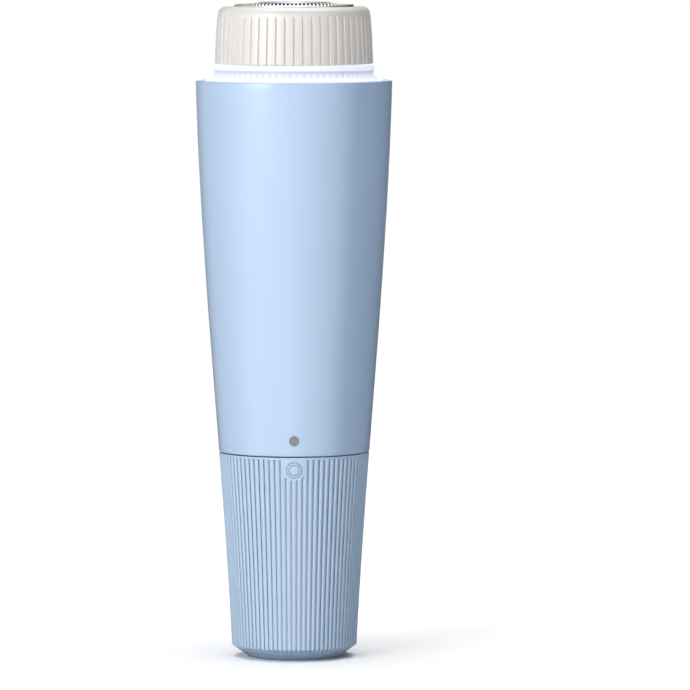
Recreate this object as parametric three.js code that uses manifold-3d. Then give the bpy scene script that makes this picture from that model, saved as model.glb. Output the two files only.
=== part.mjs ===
// A cordless facial shaver with one rotary cutter, as an assembly of separate pieces in millimetres, +Z up.
// It stands on the base of its grip, with the origin at the middle of that base and its front towards -Y.
// From the base up: a ribbed grip that twists to switch on and pulls off to free the battery, a smooth
// tapered handle with the motor inside, a ring light, and a twist-off head with a slotted foil.
import * as THREE from "three";
import { mergeVertices } from "three/addons/utils/BufferGeometryUtils.js";
import Module from "manifold-3d";

const wasm = await Module();
wasm.setup();

// ---- Driving dimensions, in mm and degrees ------------------------------------------------------
const TOTAL_HEIGHT = 130;
const RIM_Z = 114.6; // top edge of the handle's shell
const SEAM_Z = 41; // where the grip ends and the handle's shell begins
const RIM_RADIUS = 19.5;
const BASE_RADIUS = 12.3; // of the outline, carried down to the base
const BASE_DRAFT = 2.6; // lean of the outline at the base
const RIM_DRAFT = 1.4; // lean of the outline at the rim
const GAP = 0.3; // running clearance, and the gap between pieces that touch
const SHELL_WALL = 1.6;
const SHEET = 0.35; // thickness of the sheet metal parts

const GRIP_RIBS = 82;
const GRIP_RIB_DEPTH = 0.35;
const GRIP_WALL = 1.4;
const FOOT_RADIUS = 9.1;
const CHAMFER_HEIGHT = 2.4;

const CELL_RADIUS = 7.2; // one AA cell, 50.5 mm long over its button
const CELL_Z = 6.6;
const CELL_LENGTH = 49;
const CELL_BUTTON = 1.5;

const MOTOR_Z = 66;
const MOTOR_RADIUS = 10;
const MOTOR_FLAT = 7.6; // half the width across the motor's flats
const MOTOR_LENGTH = 25;
const SHAFT_RADIUS = 1;

const HEAD_Z = 117.9; // bottom edge of the head ring
const HEAD_RIBS = 54; // flats with a narrow groove between two
const HEAD_RIB_DEPTH = 0.22;
const HEAD_GROOVE = 0.24; // share of the pitch that a groove takes up
const HEAD_RADIUS = 15.7;
const FOIL_RADIUS = 11.95;
const FOIL_SLOTS = 90;
const FOIL_SLOT_WIDTH = 0.26;
const LIGHTS = 6;
const BAYONET_LUGS = 3;

const ROUND = 48; // facets of the big round pieces
const INNER_ROUND = 36; // facets of the round pieces inside
const SMALL = 12; // facets of screws and pins

// ---- Materials ----------------------------------------------------------------------------------
const finish = (color, roughness, metalness = 0) => () =>
  new THREE.MeshStandardMaterial({ color, roughness, metalness });
const glossBlue = finish(0xb4cdee, 0.22);
const satinBlue = finish(0xa9c3e4, 0.45);
const creamPlastic = finish(0xe6e2de, 0.45);
const lightGuide = finish(0xf1efff, 0.3);
const innerPlastic = finish(0xd9dadd, 0.5);
const darkPlastic = finish(0x3a3d42, 0.5);
const greyPlastic = finish(0x9a9a9c, 0.35);
const steel = finish(0xb9bcc0, 0.25, 1);
const spring = finish(0xc9cbce, 0.3, 1);
const copper = finish(0xb87345, 0.35, 1);
const brass = finish(0xc8a45a, 0.35, 1);
const magnet = finish(0x45474a, 0.7);
const rubber = finish(0x4b4e52, 0.8);
const board = finish(0xf4f4f0, 0.5);
const cellWrap = finish(0x5f7f8f, 0.35);
const redWire = finish(0xb23a34, 0.5);
const blackWire = finish(0x26272a, 0.5);

// ---- Shape tools --------------------------------------------------------------------------------
const radians = THREE.MathUtils.degToRad;

// A closed surface as a solid whose faces point outwards.
function toSolid(geometry) {
  const bare = geometry.clone();
  bare.deleteAttribute("normal");
  bare.deleteAttribute("uv");
  const merged = mergeVertices(bare, 1e-4);
  const faces = [];
  for (let i = 0; i < merged.index.count; i += 3) {
    const [a, b, c] = [0, 1, 2].map((k) => merged.index.getX(i + k));
    if (a !== b && b !== c && c !== a) faces.push(a, b, c);
  }
  const vertProperties = merged.attributes.position.array;
  const solidOf = (list) =>
    new wasm.Manifold(new wasm.Mesh({ numProp: 3, vertProperties, triVerts: new Uint32Array(list) }));
  const solid = solidOf(faces);
  return solid.volume() < 0 ? solidOf(faces.reverse()) : solid;
}

function toGeometry(solid) {
  const mesh = solid.getMesh();
  return new THREE.BufferGeometry()
    .setAttribute("position", new THREE.BufferAttribute(new Float32Array(mesh.vertProperties), 3))
    .setIndex(new THREE.BufferAttribute(new Uint32Array(mesh.triVerts), 1));
}

const join = (...shapes) => toGeometry(shapes.map(toSolid).reduce((all, next) => all.add(next)));
const cut = (shape, ...tools) =>
  toGeometry(tools.map(toSolid).reduce((left, tool) => left.subtract(tool), toSolid(shape)));
const common = (a, b) => toGeometry(toSolid(a).intersect(toSolid(b)));

// A closed outline of [radius, height] points turned about +Z. The first facet edge is at the front.
function turned(profile, facets = ROUND) {
  const points = [...profile, profile[0]].map(([r, z]) => new THREE.Vector2(r, z));
  return new THREE.LatheGeometry(points, facets).rotateX(Math.PI / 2);
}

// As turned, with count equal ribs, the first starting at the front. Each point is [radius, height, depth].
// The pattern lists [place across one rib from 0 to 1, share of the depth there].
function ribbed(profile, count, pattern) {
  const columns = Array.from({ length: count }, (_, rib) =>
    pattern.map(([place, share]) => ({ angle: (360 / count) * (rib + place) - 90, share }))).flat();
  const positions = columns.flatMap(({ angle, share }) =>
    profile.flatMap(([r, z, depth = 0]) => [...onCircle(r - depth * share, angle), z]));
  const faces = [];
  for (let column = 0; column < columns.length; column++) {
    const [here, next] = [column, (column + 1) % columns.length].map((c) => c * profile.length);
    for (let row = 0; row < profile.length; row++) {
      const above = (row + 1) % profile.length;
      faces.push(here + row, next + row, next + above, here + row, next + above, here + above);
    }
  }
  return new THREE.BufferGeometry()
    .setAttribute("position", new THREE.Float32BufferAttribute(positions, 3))
    .setIndex(faces);
}

// A cylinder or prism standing on z0.
function rod(radius, z0, z1, facets = SMALL) {
  return new THREE.CylinderGeometry(radius, radius, z1 - z0, facets)
    .rotateX(Math.PI / 2)
    .translate(0, 0, (z0 + z1) / 2);
}

const tube = (inner, outer, z0, z1, facets = ROUND) =>
  turned([[outer, z0], [outer, z1], [inner, z1], [inner, z0]], facets);

// A box between two corners.
function block([x0, y0, z0], [x1, y1, z1]) {
  return new THREE.BoxGeometry(x1 - x0, y1 - y0, z1 - z0)
    .translate((x0 + x1) / 2, (y0 + y1) / 2, (z0 + z1) / 2);
}

// Part of a ring, centred on an angle measured from +X.
function sector(inner, outer, z0, z1, middle, width, steps = 4) {
  const [from, to] = [middle - width / 2, middle + width / 2].map(radians);
  const shape = new THREE.Shape();
  shape.absarc(0, 0, outer, from, to, false);
  shape.absarc(0, 0, inner, to, from, true);
  return new THREE.ExtrudeGeometry(shape, { depth: z1 - z0, bevelEnabled: false, curveSegments: steps })
    .translate(0, 0, z0);
}

// A round wire along a smooth curve through points.
function wire(points, radius, steps, sides = 6) {
  const section = new THREE.Shape();
  section.absarc(0, 0, radius, 0, 2 * Math.PI, false);
  const extrudePath = new THREE.CatmullRomCurve3(points.map((p) => new THREE.Vector3(...p)));
  return new THREE.ExtrudeGeometry(section, { extrudePath, steps, curveSegments: sides / 2 });
}

// A coil whose radius goes from r0 at z0 to r1 at z1.
function coil(r0, r1, z0, z1, turns, wireRadius, stepsPerTurn, sides) {
  const count = Math.round(turns * stepsPerTurn);
  const points = Array.from({ length: count + 1 }, (_, i) => {
    const [share, angle] = [i / count, (2 * Math.PI * i) / stepsPerTurn];
    const r = THREE.MathUtils.lerp(r0, r1, share);
    return [r * Math.cos(angle), r * Math.sin(angle), THREE.MathUtils.lerp(z0, z1, share)];
  });
  return wire(points, wireRadius, count, sides);
}

// The same thing at every lug of a bayonet, or at any other even spacing.
const around = (count, first, make) =>
  Array.from({ length: count }, (_, i) => make(first + (360 / count) * i, i + 1));

const onCircle = (radius, angle) => [radius * Math.cos(radians(angle)), radius * Math.sin(radians(angle))];

// A pan-head screw with a cross recess, its head's seat at z = 0 and its shank pointing down.
function screw(shank, headRadius = 1.7, shankRadius = 0.75) {
  const headHeight = 1.1;
  const body = turned(
    [[0, -shank], [shankRadius, -shank], [shankRadius, 0], [headRadius, 0],
     [headRadius * 0.9, headHeight], [0, headHeight]], 8);
  const slot = block([-headRadius * 0.6, -0.2, headHeight * 0.5], [headRadius * 0.6, 0.2, headHeight * 2]);
  return cut(body, slot, slot.clone().rotateZ(Math.PI / 2));
}

// Adds a named mesh to a group.
function piece(parent, name, geometry, material, position = [0, 0, 0], rotation = [0, 0, 0]) {
  const closed = toGeometry(toSolid(geometry));
  closed.computeVertexNormals();
  const mesh = new THREE.Mesh(closed, material());
  mesh.name = name;
  mesh.position.set(...position);
  mesh.rotation.set(...rotation.map(radians));
  parent.add(mesh);
  return mesh;
}

function groupAt(parent, z) {
  const group = new THREE.Group();
  group.position.z = z;
  parent.add(group);
  return group;
}

// ---- The outline that the grip and the handle share ---------------------------------------------
// A cubic from the base to the rim, set by the radius and the lean at each end.
function outline(z) {
  const t = z / RIM_Z;
  const [lean0, lean1] = [BASE_DRAFT, RIM_DRAFT].map((a) => Math.tan(radians(a)) * RIM_Z);
  return (
    BASE_RADIUS * (2 * t ** 3 - 3 * t ** 2 + 1) + lean0 * (t ** 3 - 2 * t ** 2 + t) +
    RIM_RADIUS * (3 * t ** 2 - 2 * t ** 3) + lean1 * (t ** 3 - t ** 2)
  );
}

// Points up the outline, moved in by inset.
const outlinePoints = (z0, z1, bands, inset = 0) =>
  Array.from({ length: bands + 1 }, (_, i) => {
    const z = THREE.MathUtils.lerp(z0, z1, i / bands);
    return [outline(z) - inset, z];
  });

// A rod that stands square on the outline at the front, from a depth below it to a height above it.
function frontRod(radius, from, to, z, facets) {
  const lean = Math.atan(outline(z + 0.5) - outline(z - 0.5));
  return rod(radius, from, to, facets).rotateX(Math.PI / 2 + lean).translate(0, -outline(z), z);
}

// ---- Heights that several pieces share ----------------------------------------------------------
const GRIP_TOP = SEAM_Z - GAP;
const GRIP_MOUTH_RADIUS = 13.2; // inside the top of the grip
const GRIP_FLOOR = 1.8;
const CONTACT_FLOOR = GRIP_FLOOR + 0.2; // underside of the negative contact
const gripInside = (z) => outline(z) - GRIP_WALL - GRIP_RIB_DEPTH; // radius of the grip's bore
const TUBE_RADIUS = 9.2; // outside of the battery tube
const TUBE_BORE = CELL_RADIUS + 0.35;
const CELL_TOP = CELL_Z + CELL_LENGTH + CELL_BUTTON;
const LUG_Z = 31.5; // underside of the grip's bayonet lugs
const LUG_HEIGHT = 2.5;
const LUG_INNER = 10.2;
const LUG_WIDTH = 20; // in degrees
const FLANGE_RADIUS = 11.2; // bayonet flange of the battery tube, under the lugs once twisted
const POWER_TWIST = 40; // turn of the handle from off to on, in degrees
const LEAD_ANGLE = 90; // the switch contact and the leads are at the back of the chassis
const STRIP_ANGLE = LEAD_ANGLE + POWER_TWIST; // where the negative contact climbs the grip's wall
const SWITCH_Z = 35.2;
const SPIGOT_Z = 39.3;
const SPIGOT_RADIUS = 12.9;
const SEAL_Z = SPIGOT_Z + 0.85;
const BULKHEAD_Z = 58;
const LEAD_Z = BULKHEAD_Z + 4.8; // where the leads pass out of the motor bay
const BAY_RADIUS = MOTOR_RADIUS + GAP;
const BAY_OUTER = 11.5;
const DECK_Z = 99.5; // chassis deck that carries the head's seat
const DECK_HEIGHT = 2;
const DECK_RADIUS = 17;
const SEAT_Z = DECK_Z + DECK_HEIGHT + GAP; // underside of the head seat
const SEAT_FLANGE = 1.5; // thickness
const SEAT_FLANGE_RADIUS = 16.8;
const SEAT_TUBE_INNER = 12;
const SEAT_TUBE_OUTER = 13.2;
const SEAT_TOP = 121;
const HEAD_BORE = 14.1;
const SEAT_SCREW_RADIUS = 14.2;
const CAGE_Z = SEAT_TOP + GAP;
const CUTTER_Z = CAGE_Z + 1.8;
const FLANGE_Z = 127.65; // underside of the foil's flange

// ---- Grip ---------------------------------------------------------------------------------------
function gripSleeve() {
  const ribTop = GRIP_TOP - 0.4; // the ribs stop under a smooth band
  const bandZ = ribTop + 0.1;
  const ribEnd = 0.45; // share of the chamfer that the ribs run down
  const endRadius = THREE.MathUtils.lerp(outline(CHAMFER_HEIGHT), FOOT_RADIUS, ribEnd);
  const endZ = CHAMFER_HEIGHT * (1 - ribEnd);
  const outer = ribbed(
    [[0, 0], [FOOT_RADIUS, 0], [endRadius, endZ],
     [outline(CHAMFER_HEIGHT), CHAMFER_HEIGHT, GRIP_RIB_DEPTH], [outline(ribTop), ribTop, GRIP_RIB_DEPTH],
     [outline(bandZ), bandZ], [outline(GRIP_TOP), GRIP_TOP], [0, GRIP_TOP]],
    GRIP_RIBS, [[0, 0], [0.5, 1]]);

  // A smooth patch at the front, with a raised ring that lines up with the dot on the handle.
  const markZ = SEAM_Z - 2.7;
  const [markInner, markOuter] = [1.1, 1.65];
  const patchWidth = 2.3; // from its middle to its side
  const patchLow = markZ - 3;
  const patchInner = 10;
  const smooth = turned(
    [[patchInner, patchLow], [outline(patchLow), patchLow], [outline(ribTop), ribTop], [patchInner, ribTop]],
    GRIP_RIBS * 2);
  const window = join(
    frontRod(patchWidth, -3, 1, markZ, 20),
    block([-patchWidth, -20, markZ], [patchWidth, -patchInner, ribTop + 1]));
  const patch = common(smooth, window);
  const ring = cut(frontRod(markOuter, -0.5, 0.1, markZ, 20), frontRod(markInner, -1, 1, markZ, 20));

  const [floorRadius, taperZ, middleZ, mouthZ] = [10.1, 4, 20, 36.5];
  const cavity = turned([
    [0, GRIP_FLOOR], [floorRadius, GRIP_FLOOR], [gripInside(taperZ), taperZ], [gripInside(middleZ), middleZ],
    [gripInside(mouthZ), mouthZ], [GRIP_MOUTH_RADIUS, mouthZ + 0.6], [GRIP_MOUTH_RADIUS, GRIP_TOP + 1],
    [0, GRIP_TOP + 1]], INNER_ROUND);
  const lugs = around(BAYONET_LUGS, 90, (angle) =>
    sector(LUG_INNER, gripInside(LUG_Z) + 0.5, LUG_Z, LUG_Z + LUG_HEIGHT, angle, LUG_WIDTH));
  return join(cut(join(outer, patch, ring), cavity), ...lugs);
}

// A stamped contact: a disc under the spring, and an arm that climbs the grip's wall.
function negativeContact() {
  const [discRadius, armHalf, footRadius] = [6.4, 1.5, 9.5];
  const [low, high] = [4, 34.8]; // heights of the arm's bend and of its end
  const disc = rod(discRadius, CONTACT_FLOOR, CONTACT_FLOOR + SHEET, 20);
  const foot = block([5, -armHalf, CONTACT_FLOOR], [footRadius, armHalf, CONTACT_FLOOR + SHEET]);
  const wallAt = (z) => gripInside(z) - 0.5;
  const side = new THREE.Shape([
    [footRadius - GAP, CONTACT_FLOOR], [footRadius, CONTACT_FLOOR], [wallAt(low), low], [wallAt(high), high],
    [wallAt(high) - SHEET, high], [wallAt(low) - SHEET, low]].map(([x, z]) => new THREE.Vector2(x, z)));
  const arm = new THREE.ExtrudeGeometry(side, { depth: 2 * armHalf, bevelEnabled: false })
    .rotateX(Math.PI / 2).translate(0, armHalf, 0);
  return join(disc, foot, arm);
}

function buildGrip(root) {
  const grip = groupAt(root, 0);
  piece(grip, "grip_sleeve", gripSleeve(), satinBlue);
  piece(grip, "negative_contact", negativeContact(), spring, [0, 0, 0], [0, 0, STRIP_ANGLE]);
  const springWire = 0.35;
  const springLow = CONTACT_FLOOR + SHEET + 0.05 + springWire;
  piece(grip, "battery_spring",
    coil(5.4, 3, 0, CELL_Z - 0.1 - springWire - springLow, 4, springWire, 10, 4), spring, [0, 0, springLow]);
}

// ---- Rotary switch, which turns with the grip ---------------------------------------------------
function buildSwitch(root) {
  const group = groupAt(root, SWITCH_Z);
  const height = 2.8;
  const [ringInner, ringOuter] = [TUBE_RADIUS + 0.4, 11.5];
  const [dogInner, dogOuter, dogBottom, dogTop] = [10.2, 12.1, -3.4, 0.4];
  const dogWidth = 10; // in degrees
  const dogPlace = LUG_WIDTH / 2 + dogWidth / 2 + 2; // from the middle of the lug between two dogs
  const dogs = around(BAYONET_LUGS, 90, (angle) =>
    [-1, 1].map((side) =>
      sector(dogInner, dogOuter, dogBottom, dogTop, angle + side * dogPlace, dogWidth, 2))).flat();
  piece(group, "switch_ring", join(tube(ringInner, ringOuter, 0, height, INNER_ROUND), ...dogs), darkPlastic);
  const bladeTop = height + 0.4;
  const blade = join(
    sector(10, 12.05, bladeTop - GAP, bladeTop, STRIP_ANGLE, 24, 2),
    sector(ringOuter + 0.2, 12.05, -0.2, bladeTop, STRIP_ANGLE, 14, 1));
  piece(group, "switch_wiper", blade, brass);
}

// ---- Handle: shell, chassis, battery, motor, light and head seat --------------------------------
const DOT_Z = SEAM_Z + 3.1;
const DOT_RADIUS = 1.03;

function bodyShell() {
  const outside = outlinePoints(SEAM_Z, RIM_Z, 5);
  const inside = outlinePoints(SEAM_Z, RIM_Z, 2, SHELL_WALL).reverse();
  const ledgeTop = DECK_Z - GAP;
  const ledges = around(3, 30, (angle) =>
    sector(16.4, outline(ledgeTop) - SHELL_WALL / 2, ledgeTop - 1.2, ledgeTop, angle, 24, 2));
  const dotRecess = frontRod(DOT_RADIUS + 0.1, -0.8, 1, DOT_Z, 14);
  return cut(join(turned([...outside, ...inside]), ...ledges), dotRecess);
}

const seatScrewPlaces = () => around(3, 30, (angle) => onCircle(SEAT_SCREW_RADIUS, angle));
const BOSS_X = 12.3;
const BOSS_HEIGHTS = [70, 95.5];
const BOSS_DEPTH = 4.5;
const BOSS_RADIUS = 1.9;
const SCREW_HOLE = 1.05; // radius, clear of the shank

// The whole chassis before it is split into a front and a back half.
function chassis() {
  const tubeBottom = 8.5;
  const spigotTop = 43.5;
  const groove = 0.8;
  const bayFloorBore = 8.6;
  const deckTop = DECK_Z + DECK_HEIGHT;
  const body = turned([
    [TUBE_BORE, tubeBottom], [TUBE_RADIUS, tubeBottom], [TUBE_RADIUS, SPIGOT_Z], [SPIGOT_RADIUS, SPIGOT_Z],
    [SPIGOT_RADIUS, SEAL_Z - 0.55], [SPIGOT_RADIUS - groove, SEAL_Z - 0.55],
    [SPIGOT_RADIUS - groove, SEAL_Z + 0.55], [SPIGOT_RADIUS, SEAL_Z + 0.55],
    [SPIGOT_RADIUS + 0.2, spigotTop], [TUBE_RADIUS, spigotTop + 1],
    [TUBE_RADIUS, BULKHEAD_Z], [BAY_OUTER, BULKHEAD_Z + 2], [BAY_OUTER, DECK_Z], [DECK_RADIUS, DECK_Z],
    [DECK_RADIUS, deckTop], [BAY_RADIUS, deckTop], [BAY_RADIUS, MOTOR_Z - GAP],
    [bayFloorBore, MOTOR_Z - GAP], [bayFloorBore, BULKHEAD_Z + 2], [0, BULKHEAD_Z + 2], [0, BULKHEAD_Z],
    [TUBE_BORE, BULKHEAD_Z]],
    INNER_ROUND);
  const flange = around(BAYONET_LUGS, 30, (angle) =>
    sector(TUBE_RADIUS - 0.4, FLANGE_RADIUS, LUG_Z - 1.8, LUG_Z - GAP, angle, 60, 3));
  const bosses = BOSS_HEIGHTS.flatMap((z) => [-1, 1].map((side) =>
    rod(BOSS_RADIUS, -BOSS_DEPTH, BOSS_DEPTH, 10).rotateX(Math.PI / 2).translate(side * BOSS_X, 0, z)));
  const screwHoles = BOSS_HEIGHTS.flatMap((z) => [-1, 1].map((side) =>
    rod(SCREW_HOLE, -10, 10, 6).rotateX(Math.PI / 2).translate(side * BOSS_X, 0, z)));
  const windows = [-1, 1].map((side) => block([-4.2, side * 9 - 5, 13], [4.2, side * 9 + 5, 27]));
  const seatHoles = seatScrewPlaces().map(([x, y]) =>
    rod(SCREW_HOLE, DECK_Z - 1, deckTop + 1, 6).translate(x, y, 0));
  const leadPort = block([-2.4, 7, LEAD_Z - 2.5], [2.4, 18, LEAD_Z + 2.5]);
  const leadNotch = block([-1.6, 14.8, DECK_Z - 1], [1.6, 18, deckTop + 1]);
  const contactSlot = block([-1.2, 10.1, SPIGOT_Z - 1], [1.2, 11, SPIGOT_Z + 8]);
  const tabSlot = block([2.2, -1.3, BULKHEAD_Z - 1], [3.4, 1.3, BULKHEAD_Z + 3]);
  const bracketZ = MOTOR_Z + MOTOR_LENGTH + GAP;
  const earSlots = [-1, 1].map((side) =>
    block([-2.8, side * 11 - 3, bracketZ - GAP], [2.8, side * 11 + 3, bracketZ + 1.4 + GAP]));
  return cut(join(body, ...flange, ...bosses), ...screwHoles, ...windows, ...seatHoles, ...earSlots,
    leadPort, leadNotch, contactSlot, tabSlot);
}

function buildShellAndChassis(handle) {
  piece(handle, "body_shell", bodyShell(), glossBlue);
  piece(handle, "index_dot", frontRod(DOT_RADIUS, -0.7, -0.03, DOT_Z, 14), greyPlastic);
  const whole = chassis();
  const half = (side) => block([-20, side < 0 ? -20 : 0.08, 0], [20, side < 0 ? -0.08 : 20, 120]);
  piece(handle, "chassis_front", common(whole, half(-1)), innerPlastic);
  piece(handle, "chassis_back", common(whole, half(1)), innerPlastic);
  let number = 1;
  for (const z of BOSS_HEIGHTS)
    for (const side of [-1, 1])
      piece(handle, `chassis_screw_${number++}`, screw(7.5), steel,
        [side * BOSS_X, -BOSS_DEPTH - 0.1, z], [90, 0, 0]);
  const sealRadius = 0.45;
  const seal = new THREE.TorusGeometry(SPIGOT_RADIUS - 0.3, sealRadius, 5, INNER_ROUND);
  piece(handle, "grip_seal", seal, rubber, [0, 0, SEAL_Z]);
  const contact = join(
    sector(10, 11.8, 0, SHEET, LEAD_ANGLE, 20, 2), block([-0.9, 10.4, 0], [0.9, 10.4 + SHEET, 7.4]));
  piece(handle, "switch_contact", contact, brass, [0, 0, SPIGOT_Z - 0.1 - SHEET]);
}

function buildBattery(handle) {
  const battery = groupAt(handle, CELL_Z);
  const can = [[0, 0], [CELL_RADIUS - 0.5, 0], [CELL_RADIUS, 0.5], [CELL_RADIUS, CELL_LENGTH - 0.5],
    [CELL_RADIUS - 0.5, CELL_LENGTH], [0, CELL_LENGTH]];
  piece(battery, "battery_cell", turned(can, 28), cellWrap);
  const buttonTop = CELL_BUTTON - 0.1;
  const button = [[0, 0], [2.8, 0], [2.7, buttonTop - 0.2], [2.4, buttonTop], [0, buttonTop]];
  piece(battery, "battery_button", turned(button, 16), steel, [0, 0, CELL_LENGTH + 0.1]);
  const leaf = join(rod(4.2, 0, SHEET, 16), block([2.6, -0.9, 0], [2.6 + SHEET, 0.9, 4.6]));
  piece(handle, "positive_contact", leaf, spring, [0, 0, CELL_TOP + 0.15]);
}

const flatSided = (radius, flat, z0, z1, facets = 20) =>
  common(rod(radius, z0, z1, facets), block([-20, -flat, z0], [20, flat, z1]));

function buildMotor(handle) {
  const motor = groupAt(handle, MOTOR_Z);
  const capHeight = 2.5;
  const wall = 0.6;
  const terminalX = 5.5;
  const cap = flatSided(MOTOR_RADIUS - 0.2, MOTOR_FLAT - 0.2, 0, capHeight);
  const slots = [-1, 1].map((side) =>
    block([-1.15, -0.35, -1], [1.15, 0.35, 1.6]).translate(side * terminalX, 0, 0));
  const shaftEnd = rod(1.4, 0.8, 3);
  piece(motor, "motor_end_cap", cut(cap, ...slots, shaftEnd), darkPlastic);
  [["motor_terminal_positive", 1], ["motor_terminal_negative", -1]].forEach(([name, side]) =>
    piece(motor, name, block([-1, -0.2, -2.6], [1, 0.2, 1.4]), brass, [side * terminalX, 0, 0]));

  const bossTop = MOTOR_LENGTH + 1.5;
  const bracketScrewX = 6;
  const outside = join(
    flatSided(MOTOR_RADIUS, MOTOR_FLAT, capHeight + 0.1, MOTOR_LENGTH),
    rod(3, MOTOR_LENGTH - 0.2, bossTop, 16));
  const inside = join(
    flatSided(MOTOR_RADIUS - wall, MOTOR_FLAT - wall, capHeight, MOTOR_LENGTH - wall),
    rod(2.5, MOTOR_LENGTH - 1.5, bossTop + 1, 16));
  const threads = [-1, 1].map((side) => rod(1.1, 22, 27, 8).translate(side * bracketScrewX, 0, 0));
  piece(motor, "motor_can", cut(outside, inside, ...threads), steel);
  piece(motor, "motor_bearing", tube(SHAFT_RADIUS + 0.15, 2.35, MOTOR_LENGTH - 1, bossTop, 16), brass);
  [["motor_magnet_left", 180], ["motor_magnet_right", 0]].forEach(([name, angle]) =>
    piece(motor, name, sector(6.9, 9.1, 6, 20, angle, 66, 4), magnet));

  const bracketZ = MOTOR_LENGTH + GAP;
  const plate = cut(
    join(flatSided(MOTOR_RADIUS, MOTOR_FLAT, 0, 1.4), block([-2.5, -12, 0], [2.5, 12, 1.4])),
    rod(3.3, -1, 3, 16),
    ...[-1, 1].map((side) => rod(SCREW_HOLE, -1, 3, 6).translate(side * bracketScrewX, 0, 0)));
  piece(motor, "motor_bracket", plate, steel, [0, 0, bracketZ]);
  [-1, 1].forEach((side, i) =>
    piece(motor, `bracket_screw_${i + 1}`, screw(2.2), steel, [side * bracketScrewX, 0, bracketZ + 1.5]));
}

// The leads pass out of the bay at the back, and the light's pair climbs behind it to the board.
function buildLeads(handle) {
  const boardZ = SEAT_Z + SEAT_FLANGE;
  const gauge = 0.45;
  const terminal = [5.5, 1, MOTOR_Z - 1.9];
  const lead = (name, material, points) => piece(handle, name, wire(points, gauge, 12), material);
  lead("motor_lead_positive", redWire,
    [[3.3, 0, 61], [4.2, -0.6, 61.1], [5.3, -1.2, 62.2], [terminal[0], -terminal[1], terminal[2]]]);
  lead("motor_lead_negative", blackWire,
    [[0, 11.6, 46.4], [-0.6, 12.3, 50], [-1.2, 12.6, 57], [-1.2, 12.6, LEAD_Z - 2.6],
     [-1.3, 9.2, LEAD_Z - 1.2], [-1.6, 7.2, LEAD_Z - 1.2], [-5.6, 4, LEAD_Z - 1],
     [-6.1, terminal[1], terminal[2]]]);
  lead("light_lead_positive", redWire,
    [terminal, [4.6, 4, LEAD_Z], [1.3, 7.2, LEAD_Z], [1.2, 9.6, LEAD_Z], [1.2, 12.4, LEAD_Z + 2],
     [0.8, 14, 76], [0.7, 15.8, 94], [0.7, 16, DECK_Z], [0.7, 16, boardZ - 0.2]]);
  lead("light_lead_negative", blackWire,
    [[-4.8, terminal[1], terminal[2]], [-3.4, 4.4, LEAD_Z + 0.4], [0, 9.6, LEAD_Z + 0.4],
     [-0.1, 12.4, LEAD_Z + 2], [-0.5, 14, 76], [-0.7, 15.8, 94], [-0.7, 16, DECK_Z],
     [-0.7, 16, boardZ - 0.2]]);
}

function headSeat() {
  const floor = 116.5;
  const floorTop = floor + 1.5;
  const spindleHole = 3.2;
  const foot = SEAT_TUBE_INNER - 1.4;
  const flangeTop = SEAT_Z + SEAT_FLANGE;
  const body = turned([
    [foot, SEAT_Z], [SEAT_FLANGE_RADIUS, SEAT_Z], [SEAT_FLANGE_RADIUS, flangeTop],
    [SEAT_TUBE_OUTER, flangeTop], [SEAT_TUBE_OUTER, SEAT_TOP], [SEAT_TUBE_INNER, SEAT_TOP],
    [SEAT_TUBE_INNER, floorTop], [spindleHole, floorTop], [spindleHole, floor], [SEAT_TUBE_INNER, floor],
    [SEAT_TUBE_INNER, flangeTop], [foot, flangeTop]], INNER_ROUND);
  const lugs = around(BAYONET_LUGS, 90, (angle) =>
    sector(SEAT_TUBE_OUTER - 0.4, HEAD_BORE - GAP, 119.2, 120.4, angle, 40));
  const notches = around(3, 30, (angle) =>
    sector(SEAT_TUBE_INNER - 1, SEAT_TUBE_OUTER + 1, 119.3, SEAT_TOP + 1, angle, 18));
  const screwHoles = seatScrewPlaces().map(([x, y]) =>
    rod(SCREW_HOLE, SEAT_Z - 1, SEAT_Z + 1.2, 6).translate(x, y, 0));
  const leadNotch = block([-1.6, 14.8, SEAT_Z - 1], [1.6, 18, flangeTop + 1]);
  return cut(join(cut(body, ...notches), ...lugs), ...screwHoles, leadNotch);
}

// The light guide: a base ring over the lamps, a hollow flare out of the shell's rim, a lip under the head.
function lightRing() {
  const bore = SEAT_TUBE_OUTER + 0.4;
  const neck = 15.75;
  const lip = 16.05;
  const lipTop = HEAD_Z - GAP;
  const [baseRadius, baseZ, baseTop] = [16.9, 106, 110];
  const skirt = outline(RIM_Z) - SHELL_WALL - 0.25;
  const flare = Array.from({ length: 4 }, (_, i) => {
    const a = (Math.PI / 2) * (i / 3);
    return [skirt - (skirt - neck) * Math.sin(a), RIM_Z + 0.1 + 1.7 * (1 - Math.cos(a))];
  });
  return turned([
    [bore, baseZ], [baseRadius, baseZ], [baseRadius, baseTop], [skirt, baseTop + 2], ...flare,
    [lip, lipTop - 1], [lip, lipTop], [bore, lipTop]]);
}

function buildLightAndSeat(handle) {
  piece(handle, "head_seat", headSeat(), innerPlastic);
  seatScrewPlaces().forEach(([x, y], i) =>
    piece(handle, `seat_screw_${i + 1}`, screw(2.9), steel, [x, y, DECK_Z - 0.1], [180, 0, 0]));
  piece(handle, "spindle_seal",
    turned([[2.15, 0], [2.95, 0], [2.95, 1.1], [2.5, 1.1], [2.15, 0.5]], 14), rubber, [0, 0, 116.7]);
  piece(handle, "light_ring", lightRing(), lightGuide);
  const boardTop = SEAT_Z + SEAT_FLANGE + 1.2;
  piece(handle, "light_board",
    tube(SEAT_TUBE_OUTER + 0.4, SEAT_FLANGE_RADIUS, boardTop - 1, boardTop, INNER_ROUND), board);
  around(LIGHTS, 0, (angle, number) =>
    piece(handle, `lamp_${number}`, block([-0.7, -1.3, 0], [0.7, 1.3, 0.7]), lightGuide,
      [...onCircle(15.2, angle), boardTop + 0.1], [0, 0, angle]));
}

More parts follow.
